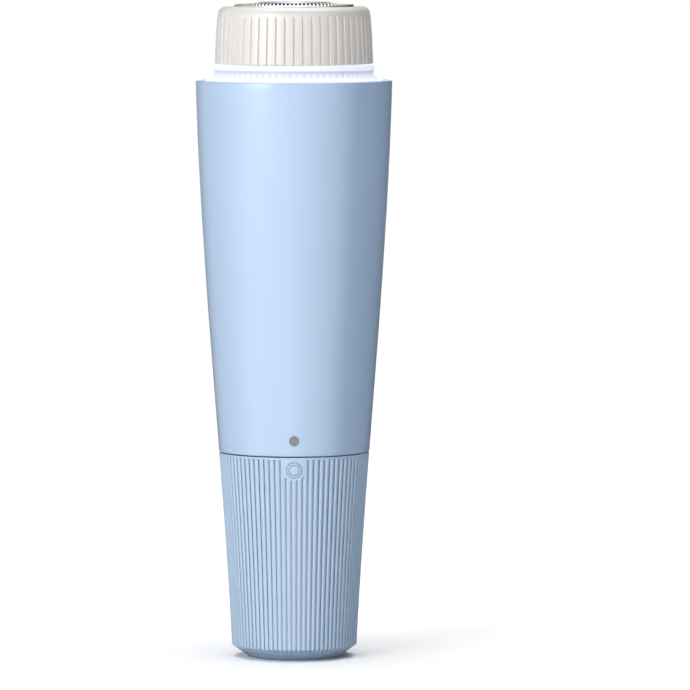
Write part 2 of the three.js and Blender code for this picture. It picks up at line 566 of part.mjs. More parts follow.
// ---- Rotor: everything that turns with the motor's shaft, in the motor's own frame --------------
const HUB_Z = 28.8;
const HUB_TOP = 38.5;
const HUB_HEX = 2.5; // corner radius of the hub's six-sided bore
const COUPLER_HEX = 2.1;

function buildRotor(root) {
  const rotor = groupAt(root, MOTOR_Z);
  const shaftTop = 32.4;
  piece(rotor, "motor_shaft", rod(SHAFT_RADIUS, 1.2, shaftTop), steel);
  const slots = around(3, 60, (angle) => block([3, -0.7, 6], [8, 0.7, 20]).rotateZ(radians(angle)));
  piece(rotor, "motor_armature",
    cut(rod(6.4, 7.5, 19, 20), rod(SHAFT_RADIUS + 0.15, 0, 30), ...slots), copper);
  piece(rotor, "commutator", tube(SHAFT_RADIUS + 0.15, 2.4, 3.6, 7, SMALL), copper);
  const hub = cut(
    turned([[0, HUB_Z], [3.2, HUB_Z], [3.8, HUB_Z + 1], [3.8, HUB_TOP], [0, HUB_TOP]], 20),
    rod(SHAFT_RADIUS + 0.15, HUB_Z - 1, shaftTop + 0.2), rod(HUB_HEX, 33.5, HUB_TOP + 1, 6));
  piece(rotor, "drive_hub", hub, darkPlastic);
  piece(rotor, "coupler_spring", coil(1.55, 1.55, 0, 2, 3, 0.22, 8, 4), spring, [0, 0, 33.9]);
}

// ---- Coupler: slides in the hub, and its tip drives the cutter ----------------------------------
function buildCoupler(root) {
  const base = MOTOR_Z + 36.5;
  const coupler = groupAt(root, base);
  const tipTop = CUTTER_Z + 1.5 - base;
  const collar = 3.5;
  const tipLength = 4.3;
  piece(coupler, "drive_coupler", join(
    rod(COUPLER_HEX, 0, collar, 6), rod(1.9, collar - 0.1, tipTop - tipLength + 0.1, SMALL),
    rod(COUPLER_HEX, tipTop - tipLength, tipTop, 6)), darkPlastic);
}

// ---- Cutter cage: keyed to the head seat, it lifts off with the head and holds the cutter in ----
function buildCage(root) {
  const cage = groupAt(root, CAGE_Z);
  const floorHeight = 1.5;
  const wallTop = FLANGE_Z - GAP - CAGE_Z;
  const wall = turned([[11.2, 0], [13.75, 0], [13.75, wallTop], [12.6, wallTop], [12.6, floorHeight],
    [11.2, floorHeight]], INNER_ROUND);
  const hub = tube(2.9, 4.4, 0, floorHeight, 18);
  const arms = around(3, 90, (angle) => block([3.6, -1, 0], [11.8, 1, floorHeight]).rotateZ(radians(angle)));
  const keys = around(3, 30, (angle) => sector(12.1, 13.05, -1.4, 0.4, angle, 13));
  piece(cage, "cutter_cage", join(wall, hub, ...arms, ...keys), creamPlastic);
}

// ---- Cutter -------------------------------------------------------------------------------------
function buildCutter(root) {
  const cutter = groupAt(root, CUTTER_Z);
  const socketDepth = 1.8;
  const blades = 10;
  const discZ = 2;
  const hub = turned([[0, 0], [3.7, 0], [3.7, discZ], [10.4, discZ], [10.4, discZ + 1], [0, discZ + 1]], 24);
  const reliefs = around(4, 0, (angle) => rod(1.5, 1, 4, 8).translate(...onCircle(6, angle), 0));
  const socket = rod(COUPLER_HEX + 0.35, -1, socketDepth, 6);
  piece(cutter, "cutter_carrier", cut(hub, socket, ...reliefs), darkPlastic);

  const bladeTop = TOTAL_HEIGHT - 2 * SHEET - CUTTER_Z;
  const ringZ = discZ + 1.2;
  const rake = 14;
  const blade = (angle) =>
    block([7.25, -0.2, 0], [10.9, 0.2, bladeTop - ringZ]).rotateX(radians(rake))
      .translate(0, 0, ringZ).rotateZ(radians(angle));
  const trimmed = common(
    join(...around(blades, 0, blade)), tube(7.2, 10.95, ringZ + 0.1, bladeTop, 24));
  piece(cutter, "cutter_blades", join(tube(6.9, 10.95, ringZ, ringZ + 0.6, 24), trimmed), steel);
}

// ---- Head: ring and foil ------------------------------------------------------------------------
function headRing(parent) {
  const top = TOTAL_HEIGHT - 0.75 - HEAD_Z;
  const shoulder = 1.7; // radius of the rounding at the top
  const ribTop = top - shoulder - 0.1;
  const ribTopRadius = 15.15;
  const rounding = Array.from({ length: 3 }, (_, i) => {
    const a = (Math.PI / 2) * (i / 2);
    return [ribTopRadius - shoulder * (1 - Math.cos(a)), top - shoulder + shoulder * Math.sin(a)];
  });
  const outer = ribbed(
    [[0, 0], [HEAD_RADIUS, 0, HEAD_RIB_DEPTH], [ribTopRadius + 0.12, ribTop - 0.8, HEAD_RIB_DEPTH],
     ...rounding, [0, top]],
    HEAD_RIBS, [[0, 1], [HEAD_GROOVE / 2, 0], [1 - HEAD_GROOVE / 2, 0]]);
  const lidUnder = FLANGE_Z + SHEET + GAP - HEAD_Z;
  const bore = turned([[0, -1], [HEAD_BORE, -1], [HEAD_BORE, lidUnder], [FOIL_RADIUS + 0.2, lidUnder],
    [FOIL_RADIUS + 0.2, top + 1], [0, top + 1]], 28);
  const tabs = around(BAYONET_LUGS, 30, (angle) =>
    sector(SEAT_TUBE_OUTER + GAP, HEAD_BORE + 0.3, 0, 1, angle, 28));
  piece(parent, "head_ring", join(cut(outer, bore), ...tabs), creamPlastic);
}

// A pressed sheet with a raised track, slotted from its inner edge over the outer shoulder.
function shavingFoil(parent) {
  const top = TOTAL_HEIGHT - HEAD_Z;
  const flange = FLANGE_Z - HEAD_Z;
  const centre = top - 0.5;
  const body = turned([
    [0, centre], [6.4, centre], [6.9, top], [11.4, top], [FOIL_RADIUS, top - 0.7],
    [FOIL_RADIUS, flange + SHEET],
    [13.2, flange + SHEET], [13.2, flange], [FOIL_RADIUS - SHEET, flange], [FOIL_RADIUS - SHEET, top - 0.7],
    [11.2, top - SHEET], [7.05, top - SHEET], [6.55, centre - SHEET], [0, centre - SHEET]],
    FOIL_SLOTS);
  const slotInner = 7.5;
  const slotLow = top - 0.62;
  const halfStep = 180 / FOIL_SLOTS;
  const slot = block([slotInner, -FOIL_SLOT_WIDTH / 2, slotLow], [13, FOIL_SLOT_WIDTH / 2, top + 1]);
  const slots = around(FOIL_SLOTS, 90 + halfStep, (angle) => slot.clone().rotateZ(radians(angle)));
  piece(parent, "shaving_foil", cut(body, ...slots), steel);
}

// ---- The assembly -------------------------------------------------------------------------------
const shaver = new THREE.Group();
buildGrip(shaver);
buildSwitch(shaver);
const handle = groupAt(shaver, 0);
buildShellAndChassis(handle);
buildBattery(handle);
buildMotor(handle);
buildLeads(handle);
buildLightAndSeat(handle);
buildRotor(shaver);
buildCoupler(shaver);
buildCage(shaver);
buildCutter(shaver);
const head = groupAt(shaver, HEAD_Z);
headRing(head);
shavingFoil(head);

export default shaver;
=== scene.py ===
"""Looks for the round cordless shaver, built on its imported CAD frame. Lengths below are millimetres."""

import math

import bmesh
import bpy
import numpy as np
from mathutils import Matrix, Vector


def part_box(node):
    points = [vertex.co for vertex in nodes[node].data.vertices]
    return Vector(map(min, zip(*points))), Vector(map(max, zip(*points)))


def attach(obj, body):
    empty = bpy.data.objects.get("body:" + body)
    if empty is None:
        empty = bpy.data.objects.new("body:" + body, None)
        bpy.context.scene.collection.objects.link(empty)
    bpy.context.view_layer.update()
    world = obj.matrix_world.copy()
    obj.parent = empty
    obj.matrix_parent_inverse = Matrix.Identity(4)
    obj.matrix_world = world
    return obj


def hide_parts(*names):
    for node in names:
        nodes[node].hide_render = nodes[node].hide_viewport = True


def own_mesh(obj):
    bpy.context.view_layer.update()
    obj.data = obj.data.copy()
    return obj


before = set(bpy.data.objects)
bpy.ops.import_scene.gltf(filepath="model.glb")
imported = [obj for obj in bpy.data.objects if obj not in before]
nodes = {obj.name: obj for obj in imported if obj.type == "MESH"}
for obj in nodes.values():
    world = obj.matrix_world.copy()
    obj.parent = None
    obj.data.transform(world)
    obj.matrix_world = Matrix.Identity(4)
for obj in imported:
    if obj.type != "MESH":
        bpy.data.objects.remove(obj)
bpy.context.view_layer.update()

MM = 0.001
FRONT = -math.pi / 2  # angle of the front, measured from +X

# ---- Outline of the grip and the shell ----
BASE_RADIUS = 12.3
BASE_DRAFT = 2.6  # degrees off the axis
RIM_RADIUS = 19.5
RIM_DRAFT = 1.4
RIM_Z = 114.6
SEAM_Z = 41.0
SHELL_WALL = 1.6
SHELL_LEDGE_Z = 99.2  # top of the three ledges under the chassis deck

# ---- Grip ----
GRIP_TOP = SEAM_Z - 0.2
GRIP_RIBS = 82
GRIP_GROOVE_DEPTH = 0.55
GRIP_RIB_CROWN = 0.16  # rise of a rib across its own width
GRIP_RIB_EDGE = 0.78  # share of half a pitch where the groove begins
GRIP_GROOVE_FOOT = 0.84  # and where its wall reaches the bottom
GRIP_RIB_START = (1.66, 1.8)  # heights over which the ribs rise out of the chamfer
GRIP_RIB_END = (GRIP_TOP - 0.55, GRIP_TOP - 0.45)
GRIP_INSET = 1.75  # from the crests of the ribs in to the bore
GRIP_FLOOR = 1.8
GRIP_MOUTH = 13.2
GRIP_LUG_Z = 31.5
FOOT_RADIUS = 9.1
CHAMFER = 2.4
MARK_Z = SEAM_Z - 2.7
MARK_RADII = [0.88, 1.03, 1.12, 1.4, 1.49, 1.64]  # the raised ring between its two grooves
MARK_HEIGHTS = [0, -0.2, 0.05, 0.05, -0.2, 0]
MARK_PATCH = 2.2  # reach of the smooth patch round the mark
MARK_REACH = 3.0  # of the finer mesh

# ---- Dot, light ring and head ----
DOT_Z = SEAM_Z + 3.1
DOT_RADIUS = 1.03
HEAD_Z = 117.9
HEAD_TOP = 129.25
HEAD_RIBS = 54
HEAD_GROOVE = 0.24  # share of the pitch that a groove takes up
HEAD_GROOVE_DEPTH = 0.26
HEAD_GROOVE_END = (126.6, 127.9)  # heights over which the grooves run out
HEAD_FLAT_CROWN = 0.05
HEAD_RADIUS = 15.7  # at the foot of the head ring
HEAD_LEAN = 0.36  # how far the wall leans in up to the shoulder
HEAD_ROUNDING = 0.17  # and curves in besides
HEAD_SHOULDER = 1.7
HEAD_BORE = 14.1
RING_BORE = 13.6
RING_FOOT_RADIUS = 16.9
RING_FOOT_Z = 106
FLARE_Z = 114.7
NECK_RADIUS = 15.75
NECK_Z = 116.4
LIP_RADIUS = 16.05
LIP_TOP = HEAD_Z - 0.1
PRISMS = 72
PRISM_DEPTH = 0.16
FOIL_RADIUS = 11.95
FOIL_TOP = 130.0
FOIL_FLANGE = 127.65
FOIL_THICKNESS = 0.12
FOIL_BEND = 1.0  # radius of the foil's outer edge
FOIL_SLOTS = 90


def outline(z):
    """Radius of the grip and the shell at a height."""
    t = z / RIM_Z
    lean0, lean1 = (math.tan(math.radians(a)) * RIM_Z for a in (BASE_DRAFT, RIM_DRAFT))
    return (
        BASE_RADIUS * (2 * t**3 - 3 * t**2 + 1)
        + lean0 * (t**3 - 2 * t**2 + t)
        + RIM_RADIUS * (3 * t**2 - 2 * t**3)
        + lean1 * (t**3 - t**2)
    )


def smoothstep(a, b, x):
    t = np.clip((x - a) / (b - a), 0, 1)
    return t * t * (3 - 2 * t)


# ---- Mesh tools ----
def new_object(name, verts, faces, sharp):
    """A mesh object in the scene. sharp is the angle in degrees above which an edge stays sharp."""
    mesh = bpy.data.meshes.new(name)
    mesh.from_pydata(verts.tolist(), [], faces)
    mesh.update()
    obj = bpy.data.objects.new(name, mesh)
    bpy.context.scene.collection.objects.link(obj)
    smooth(mesh, sharp)
    return obj


def smooth(mesh, sharp):
    mesh.polygons.foreach_set("use_smooth", [True] * len(mesh.polygons))
    mesh.set_sharp_from_angle(angle=math.radians(sharp))


def turned(name, profile, angles, radius=None, sharp=35):
    """A closed profile of (radius, height) turned about the axis.

    radius(r, z, angles), where given, returns each row's radius at every angle.
    """
    rows, cols = len(profile), len(angles)
    verts = np.zeros((rows, cols, 3))
    for i, (r, z) in enumerate(profile):
        row = np.full(cols, float(r)) if radius is None else radius(float(r), float(z), angles)
        verts[i, :, 0] = row * np.cos(angles)
        verts[i, :, 1] = row * np.sin(angles)
        verts[i, :, 2] = z
    index = np.arange(rows * cols).reshape(rows, cols)
    below, above = index, np.roll(index, -1, 0)
    faces = np.stack([below, np.roll(below, -1, 1), np.roll(above, -1, 1), above], -1).reshape(-1, 4)
    obj = new_object(name, verts.reshape(-1, 3) * MM, faces.tolist(), sharp)
    close_poles(obj, sharp)
    return obj


def close_poles(obj, sharp):
    """Merges the points that lie on the axis and turns the faces outwards."""
    bm = bmesh.new()
    bm.from_mesh(obj.data)
    axis = [v for v in bm.verts if v.co.x**2 + v.co.y**2 < (0.01 * MM) ** 2]
    bmesh.ops.remove_doubles(bm, verts=axis, dist=0.005 * MM)
    bmesh.ops.dissolve_degenerate(bm, dist=0.0001 * MM, edges=bm.edges)
    bmesh.ops.recalc_face_normals(bm, faces=bm.faces)
    bm.to_mesh(obj.data)
    bm.free()
    smooth(obj.data, sharp)


def full_circle(count):
    """Even angles round the axis, from the front."""
    return FRONT + np.arange(count) * 2 * math.pi / count


def arc(cx, cz, radius, start, end, steps):
    """Points of an arc in the profile plane, angles in degrees from +r towards +z."""
    turn = np.radians(np.linspace(start, end, steps + 1))
    return [(cx + radius * math.cos(a), cz + radius * math.sin(a)) for a in turn]


def strip_faces(rows, around):
    """Faces between rows of points, where each row is a closed loop of the same length."""
    faces = []
    for low in range(0, (rows - 1) * around, around):
        high = low + around
        for k in range(around):
            after = (k + 1) % around
            faces.append([low + k, low + after, high + after, high + k])
    return faces


def end_faces(rows, around):
    """The two faces that close the first and the last row."""
    return [list(range(around))[::-1], [(rows - 1) * around + k for k in range(around)]]


def ring_block(name, inner, outer, z0, z1, middle, width, steps=12):
    """Part of a ring with eased edges, centred on an angle from +X in degrees."""
    turn = np.radians(np.linspace(middle - width / 2, middle + width / 2, steps + 1))
    e = 0.12
    section = [
        (inner + e, z0), (outer - e, z0), (outer, z0 + e), (outer, z1 - e),
        (outer - e, z1), (inner + e, z1), (inner, z1 - e), (inner, z0 + e),
    ]
    verts = np.array([[(r * math.cos(a), r * math.sin(a), z) for r, z in section] for a in turn])
    faces = strip_faces(len(turn), len(section)) + end_faces(len(turn), len(section))
    return new_object(name, verts.reshape(-1, 3) * MM, faces, 35)


def fuse(obj, others):
    """Adds the meshes of other objects to one object."""
    bm = bmesh.new()
    bm.from_mesh(obj.data)
    for other in others:
        bm.from_mesh(other.data)
        bpy.data.objects.remove(other)
    bmesh.ops.recalc_face_normals(bm, faces=bm.faces)
    bm.to_mesh(obj.data)
    bm.free()
    smooth(obj.data, 35)


# ---- Materials ----
def srgb(r, g, b):
    """Linear colour of an sRGB colour given in 0 to 255."""
    return tuple(
        c / 255 / 12.92 if c <= 10 else ((c / 255 + 0.055) / 1.055) ** 2.4 for c in (r, g, b)
    ) + (1.0,)


def material(name, color, roughness, metallic=0.0, tint=0.03, grain=900.0, bump=0.02, rough_var=0.06,
             stretch=(1, 1, 1), coat=0.0, coat_roughness=0.1, ior=1.5, emission=0.0):
    """Plastic or metal with slightly uneven colour and gloss and a fine surface grain.

    tint and rough_var are how far colour and roughness vary. grain is the texture's scale and bump its depth.
    """
    mat = bpy.data.materials.new(name)
    mat.use_nodes = True
    tree = mat.node_tree
    shader = tree.nodes["Principled BSDF"]
    link = tree.links.new
    place = tree.nodes.new("ShaderNodeTexCoord")
    mapping = tree.nodes.new("ShaderNodeMapping")
    mapping.inputs["Scale"].default_value = stretch
    link(place.outputs["Object"], mapping.inputs["Vector"])

    def noise(scale, detail):
        node = tree.nodes.new("ShaderNodeTexNoise")
        node.inputs["Scale"].default_value = scale
        node.inputs["Detail"].default_value = detail
        link(mapping.outputs["Vector"], node.inputs["Vector"])
        return node.outputs["Fac"]

    def spread(source, low, high):
        node = tree.nodes.new("ShaderNodeMapRange")
        node.inputs["From Min"].default_value = 0.3
        node.inputs["From Max"].default_value = 0.7
        node.inputs["To Min"].default_value = low
        node.inputs["To Max"].default_value = high
        link(source, node.inputs["Value"])
        return node.outputs["Result"]

    broad = noise(60.0, 3.0)
    fine = noise(grain, 4.0)
    ramp = tree.nodes.new("ShaderNodeValToRGB")
    dark = tuple(c * (1 - tint) for c in color[:3]) + (1.0,)
    light = tuple(min(1.0, c * (1 + tint)) for c in color[:3]) + (1.0,)
    ramp.color_ramp.elements[0].position = 0.3
    ramp.color_ramp.elements[1].position = 0.7
    ramp.color_ramp.elements[0].color = dark
    ramp.color_ramp.elements[1].color = light
    link(broad, ramp.inputs["Fac"])
    link(ramp.outputs["Color"], shader.inputs["Base Color"])
    link(spread(fine, max(0.02, roughness - rough_var), min(1.0, roughness + rough_var)),
         shader.inputs["Roughness"])
    height = tree.nodes.new("ShaderNodeBump")
    height.inputs["Strength"].default_value = 1.0
    height.inputs["Distance"].default_value = bump * MM
    link(fine, height.inputs["Height"])
    link(height.outputs["Normal"], shader.inputs["Normal"])
    shader.inputs["Metallic"].default_value = metallic
    shader.inputs["IOR"].default_value = ior
    shader.inputs["Coat Weight"].default_value = coat
    shader.inputs["Coat Roughness"].default_value = coat_roughness
    if emission:
        link(ramp.outputs["Color"], shader.inputs["Emission Color"])
        shader.inputs["Emission Strength"].default_value = emission
    return mat


gloss_blue = material("gloss_blue", srgb(158, 185, 218), 0.34, tint=0.012, grain=500, bump=0.0006,
                      rough_var=0.03, coat=1.0, coat_roughness=0.24)
satin_blue = material("satin_blue", srgb(158, 184, 211), 0.36, tint=0.012, grain=2600, bump=0.0015,
                      rough_var=0.04, coat=0.9, coat_roughness=0.25)
cream = material("cream_plastic", srgb(214, 210, 206), 0.38, tint=0.01, grain=2600, bump=0.0015,
                 rough_var=0.03, coat=0.6, coat_roughness=0.28)
lamp_glow = material("lamp_glow", srgb(240, 240, 255), 0.4, tint=0.01, emission=2.5)
silver_print = material("silver_print", srgb(114, 119, 126), 0.45, tint=0.04, grain=3000, bump=0.004)
foil_steel = material("foil_steel", srgb(216, 217, 219), 0.26, metallic=1.0, tint=0.02, grain=2500,
                      bump=0.0001, rough_var=0.012)
blade_steel = material("blade_steel", srgb(178, 180, 184), 0.22, metallic=1.0, tint=0.05, grain=1500,
                       bump=0.002, stretch=(1, 1, 8))
can_steel = material("can_steel", srgb(176, 178, 182), 0.3, metallic=1.0, tint=0.05, grain=700, bump=0.002,
                     stretch=(1, 1, 12))
screw_steel = material("screw_steel", srgb(160, 162, 166), 0.3, metallic=1.0, tint=0.08, grain=1800,
                       bump=0.003)
nickel = material("nickel", srgb(196, 194, 188), 0.24, metallic=1.0, tint=0.05, grain=1200, bump=0.002)
copper = material("copper", srgb(196, 122, 72), 0.3, metallic=1.0, tint=0.1, grain=900, bump=0.01,
                  stretch=(1, 1, 30))
brass = material("brass", srgb(206, 170, 98), 0.3, metallic=1.0, tint=0.08, grain=1200, bump=0.003)
ferrite = material("ferrite", srgb(68, 68, 70), 0.75, tint=0.12, grain=1500, bump=0.02)
rubber = material("rubber", srgb(70, 72, 76), 0.7, tint=0.08, grain=2200, bump=0.01)
inner_plastic = material("inner_plastic", srgb(214, 215, 218), 0.48, tint=0.02, grain=2200, bump=0.006)
dark_plastic = material("dark_plastic", srgb(52, 54, 58), 0.46, tint=0.08, grain=2200, bump=0.006)
board_mask = material("board_mask", srgb(238, 238, 232), 0.4, tint=0.03, grain=1800, bump=0.003)
red_insulation = material("red_insulation", srgb(178, 44, 38), 0.42, tint=0.06, grain=1500, bump=0.005)
black_insulation = material("black_insulation", srgb(30, 31, 34), 0.42, tint=0.1, grain=1500, bump=0.005)


def banded(name, bands, roughness):
    """Printed wrap of the cell, in bands of (top, colour). top is a share of the cell's height."""
    mat = material(name, bands[0][1], roughness, tint=0.0, grain=900, bump=0.0, rough_var=0.01, coat=0.4)
    tree = mat.node_tree
    place = next(n for n in tree.nodes if n.type == "TEX_COORD")
    split = tree.nodes.new("ShaderNodeSeparateXYZ")
    tree.links.new(place.outputs["Object"], split.inputs["Vector"])
    height = tree.nodes.new("ShaderNodeMapRange")
    low, high = (corner.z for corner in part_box("battery_cell"))
    height.inputs["From Min"].default_value = low
    height.inputs["From Max"].default_value = high
    tree.links.new(split.outputs["Z"], height.inputs["Value"])
    ramp = next(n for n in tree.nodes if n.type == "VALTORGB")
    ramp.color_ramp.interpolation = "CONSTANT"
    stops = ramp.color_ramp.elements
    stops[0].position, stops[0].color = 0.0, bands[0][1]
    stops[1].position, stops[1].color = bands[0][0], bands[1][1]
    for (start, _), (_, color) in zip(bands[1:-1], bands[2:]):
        stops.new(start).color = color
    tree.links.new(height.outputs["Result"], ramp.inputs["Fac"])
    return mat


cell_wrap = banded("cell_wrap", [
    (0.06, srgb(190, 190, 190)),
    (0.72, srgb(60, 84, 98)),
    (0.76, srgb(214, 214, 214)),
    (1.0, srgb(196, 120, 60)),
], 0.3)


def lit_plastic(name, roughness, glow):
    """Milky plastic lit from inside, glowing white, with painted shade in its glow: lilac in a band under the
    lip and in the valleys between the prisms.
    """
    mat = material(name, srgb(150, 152, 164), roughness, tint=0.0, grain=800, bump=0.001)
    tree = mat.node_tree
    link = tree.links.new
    shader = tree.nodes["Principled BSDF"]
    place = next(n for n in tree.nodes if n.type == "TEX_COORD")

    def ramp(source, stops):
        node = tree.nodes.new("ShaderNodeValToRGB")
        elements = node.color_ramp.elements
        for element, (at, color) in zip(elements, stops[:2]):
            element.position, element.color = at, color
        for at, color in stops[2:]:
            elements.new(at).color = color
        link(source, node.inputs["Fac"])
        return node.outputs["Color"]

    def math_node(operation, source, value):
        node = tree.nodes.new("ShaderNodeMath")
        node.operation = operation
        link(source, node.inputs[0])
        node.inputs[1].default_value = value
        return node.outputs["Value"]

    split = tree.nodes.new("ShaderNodeSeparateXYZ")
    link(place.outputs["Object"], split.inputs["Vector"])
    height = tree.nodes.new("ShaderNodeMapRange")
    height.inputs["From Min"].default_value = 114.0 * MM
    height.inputs["From Max"].default_value = 118.0 * MM
    link(split.outputs["Z"], height.inputs["Value"])
    # Glow colour by height: white on the flare, paling into a lilac band of painted shade under the lip, then
    # white again on the lip
    white, painted_shade_lilac, half_shade_pale = srgb(238, 240, 250), srgb(176, 182, 214), srgb(226, 230, 245)
    glow_with_lip_shade = ramp(height.outputs["Result"], [
        (0.2, white), (0.5, half_shade_pale), (0.6, painted_shade_lilac), (0.67, painted_shade_lilac), (0.71, white)])
    # Painted shade round the axis: lilac in the prism valleys, white on the crests
    turn = tree.nodes.new("ShaderNodeTexGradient")
    turn.gradient_type = "RADIAL"
    link(place.outputs["Object"], turn.inputs["Vector"])
    from_crest = math_node("PINGPONG", math_node("MULTIPLY", turn.outputs["Fac"], PRISMS), 0.5)
    prism_valley_shade = ramp(from_crest, [(0.24, (1, 1, 1, 1)), (0.44, srgb(229, 231, 245))])
    # Multiplies the prisms' painted shade into the glow, masked by height to the flare only
    prisms = tree.nodes.new("ShaderNodeMix")
    prisms.data_type, prisms.blend_type = "RGBA", "MULTIPLY"
    link(ramp(height.outputs["Result"], [
        (0.3, (0, 0, 0, 1)), (0.42, (1, 1, 1, 1)), (0.56, (1, 1, 1, 1)), (0.6, (0, 0, 0, 1))]),
        prisms.inputs[0])
    link(glow_with_lip_shade, prisms.inputs[6])  # the two colour inputs
    link(prism_valley_shade, prisms.inputs[7])
    link(prisms.outputs[2], shader.inputs["Emission Color"])
    shader.inputs["Emission Strength"].default_value = glow
    return mat


light_guide = lit_plastic("light_guide", 0.3, 0.75)


# ---- Grip ----
# Places across half of a rib: its crowned face, its edge and the foot of the groove's wall
RIB_COLUMNS = (0.0, 0.25, 0.5, 0.68, GRIP_RIB_EDGE, GRIP_GROOVE_FOOT)


def grip_angles():
    """Columns that follow the ribs, and even ones besides round the ring mark."""
    half = np.array(RIB_COLUMNS)
    across = np.concatenate([half, [1.0], 2 - half[:0:-1]]) / 2
    ribbed = FRONT + (np.arange(GRIP_RIBS)[:, None] + across).ravel() * 2 * math.pi / GRIP_RIBS
    reach = MARK_REACH / outline(MARK_Z)
    near = FRONT + np.arange(-reach, reach, 0.07 / outline(MARK_Z))
    return np.sort(np.concatenate([ribbed, near]) % (2 * math.pi))


def grip_surface(r, z, angles):
    """Radius of the grip's outside at each angle: ribs, the smooth patch and the ring mark."""
    turn = (angles - FRONT + math.pi) % (2 * math.pi) - math.pi
    across = turn * r
    place = turn * GRIP_RIBS / (2 * math.pi)
    from_crest = np.abs((place + 0.5) % 1 - 0.5) * 2
    depth = GRIP_RIB_CROWN * np.minimum(from_crest / GRIP_RIB_EDGE, 1) ** 2
    wall = [GRIP_RIB_EDGE, GRIP_GROOVE_FOOT]
    depth += np.interp(from_crest, wall, [0, GRIP_GROOVE_DEPTH - GRIP_RIB_CROWN])
    depth *= (r / outline(GRIP_TOP)) ** 2  # shallower where the grip is narrower
    up = z - MARK_Z
    to_patch = np.hypot(across, min(up, 0.0)) - MARK_PATCH
    ribs = smoothstep(0.0, 0.25, to_patch) * smoothstep(*GRIP_RIB_START, z)
    ribs *= 1 - smoothstep(*GRIP_RIB_END, z)
    ring = np.interp(np.hypot(across, up), MARK_RADII, MARK_HEIGHTS)
    return r - depth * ribs + ring


def build_grip():
    """A cup: plain foot, chamfer, ribbed wall, mouth, bore and three lugs inside."""
    foot = [(0, 0), (4, 0), (8.6, 0), (8.95, 0.02)]
    chamfer = [
        (FOOT_RADIUS + (outline(CHAMFER) - FOOT_RADIUS) * z / CHAMFER, z)
        for z in (0.1, 0.6, 1.2, 1.6, 1.66, 1.7, 1.75, 1.8, 2.0, 2.3, 2.37)
    ]
    heights = np.concatenate([
        [CHAMFER + 0.02, CHAMFER + 0.08, CHAMFER + 0.2], np.arange(4, 35, 4), [35.3, 35.7, 36.0],
        np.arange(36.3, GRIP_TOP - 0.6, 0.09), GRIP_TOP - np.array([0.55, 0.5, 0.45, 0.3, 0.15, 0.08])])
    ribbed = chamfer + [(outline(z), z) for z in heights]
    ribbed += [(outline(GRIP_TOP) - 0.04, GRIP_TOP - 0.04), (outline(GRIP_TOP) - 0.12, GRIP_TOP)]
    inside = [(GRIP_MOUTH + 0.12, GRIP_TOP), (GRIP_MOUTH, GRIP_TOP - 0.12)]
    inside += [(GRIP_MOUTH, 37.2), (GRIP_MOUTH, 37.1)]
    inside += [(outline(z) - GRIP_INSET, z) for z in (36.5, 28, 20, 12, 4)]
    inside += [(10.1, GRIP_FLOOR), (9.6, GRIP_FLOOR), (0, GRIP_FLOOR)]
    ribbed_rows = {(float(r), float(z)) for r, z in ribbed}

    def shape(r, z, angles):
        return grip_surface(r, z, angles) if (r, z) in ribbed_rows else np.full(len(angles), r)

    grip = turned("grip_cup", foot + ribbed + inside, grip_angles(), shape, 50)
    lug_outer = outline(GRIP_LUG_Z) - GRIP_INSET + 0.4
    lugs = [
        ring_block(f"grip_lug_{i}", 10.2, lug_outer, GRIP_LUG_Z, GRIP_LUG_Z + 2.5, 90 + 120 * i, 20)
        for i in range(3)
    ]
    fuse(grip, lugs)
    smooth(grip.data, 50)
    finish_piece(grip, "grip", satin_blue, "satin_blue", "grip_sleeve")


def finish_piece(obj, body, mat, slot, *replaced):
    """Gives a piece its material and its body, and hides the CAD nodes that it stands in for. slot is not
    used.
    """
    obj.data.materials.clear()
    obj.data.materials.append(mat)
    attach(obj, body)
    if replaced:
        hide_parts(*replaced)


# ---- Handle shell and dot ----
def build_shell():
    """A tapered tube with a rounded rim and three ledges inside."""
    e = 0.28
    outside = [(outline(SEAM_Z) - 0.2, SEAM_Z), (outline(SEAM_Z) - 0.05, SEAM_Z + 0.05)]
    outside += [(outline(z), z) for z in np.linspace(SEAM_Z + 0.2, RIM_Z - e, 60)]
    top = outline(RIM_Z) - 0.01
    outside += arc(top - e, RIM_Z - e, e, 12, 90, 6)
    inner_top = outline(RIM_Z) - SHELL_WALL
    inside = arc(inner_top + 0.2, RIM_Z - 0.2, 0.2, 90, 180, 4)
    inside += [(outline(z) - SHELL_WALL, z) for z in np.linspace(RIM_Z - 1.5, SEAM_Z + 0.2, 20)]
    inside += [(outline(SEAM_Z) - SHELL_WALL + 0.15, SEAM_Z)]
    shell = turned("handle_shell", outside + inside, full_circle(288))
    ledge_outer = outline(SHELL_LEDGE_Z) - SHELL_WALL / 2
    ledges = [
        ring_block(f"shell_ledge_{i}", 16.4, ledge_outer, SHELL_LEDGE_Z - 1.2, SHELL_LEDGE_Z,
                   30 + 120 * i, 24)
        for i in range(3)
    ]
    fuse(shell, ledges)
    finish_piece(shell, "handle", gloss_blue, "gloss_blue", "body_shell")


def build_dot():
    """A thin, slightly dished disc that follows the shell's curve."""
    rings = [(0.0, 0.01), (0.45, 0.012), (0.75, 0.03), (0.9, 0.055), (0.97, 0.055), (DOT_RADIUS, 0.0),
             (DOT_RADIUS, -0.1), (0.5, -0.1), (0.0, -0.1)]
    turn = np.arange(48) * 2 * math.pi / 48
    verts = []
    for rho, proud in rings:
        for a in turn:
            x, z = rho * math.cos(a), DOT_Z + rho * math.sin(a)
            r = outline(z) + proud
            verts.append((x, -math.sqrt(r * r - x * x), z))
    dot = new_object("index_dot_inlay", np.array(verts) * MM, strip_faces(len(rings), len(turn)), 40)
    bm = bmesh.new()
    bm.from_mesh(dot.data)
    bmesh.ops.remove_doubles(bm, verts=bm.verts, dist=0.0001 * MM)
    bmesh.ops.recalc_face_normals(bm, faces=bm.faces)
    bm.to_mesh(dot.data)
    bm.free()
    smooth(dot.data, 40)
    finish_piece(dot, "handle", silver_print, "grey_plastic", "index_dot")


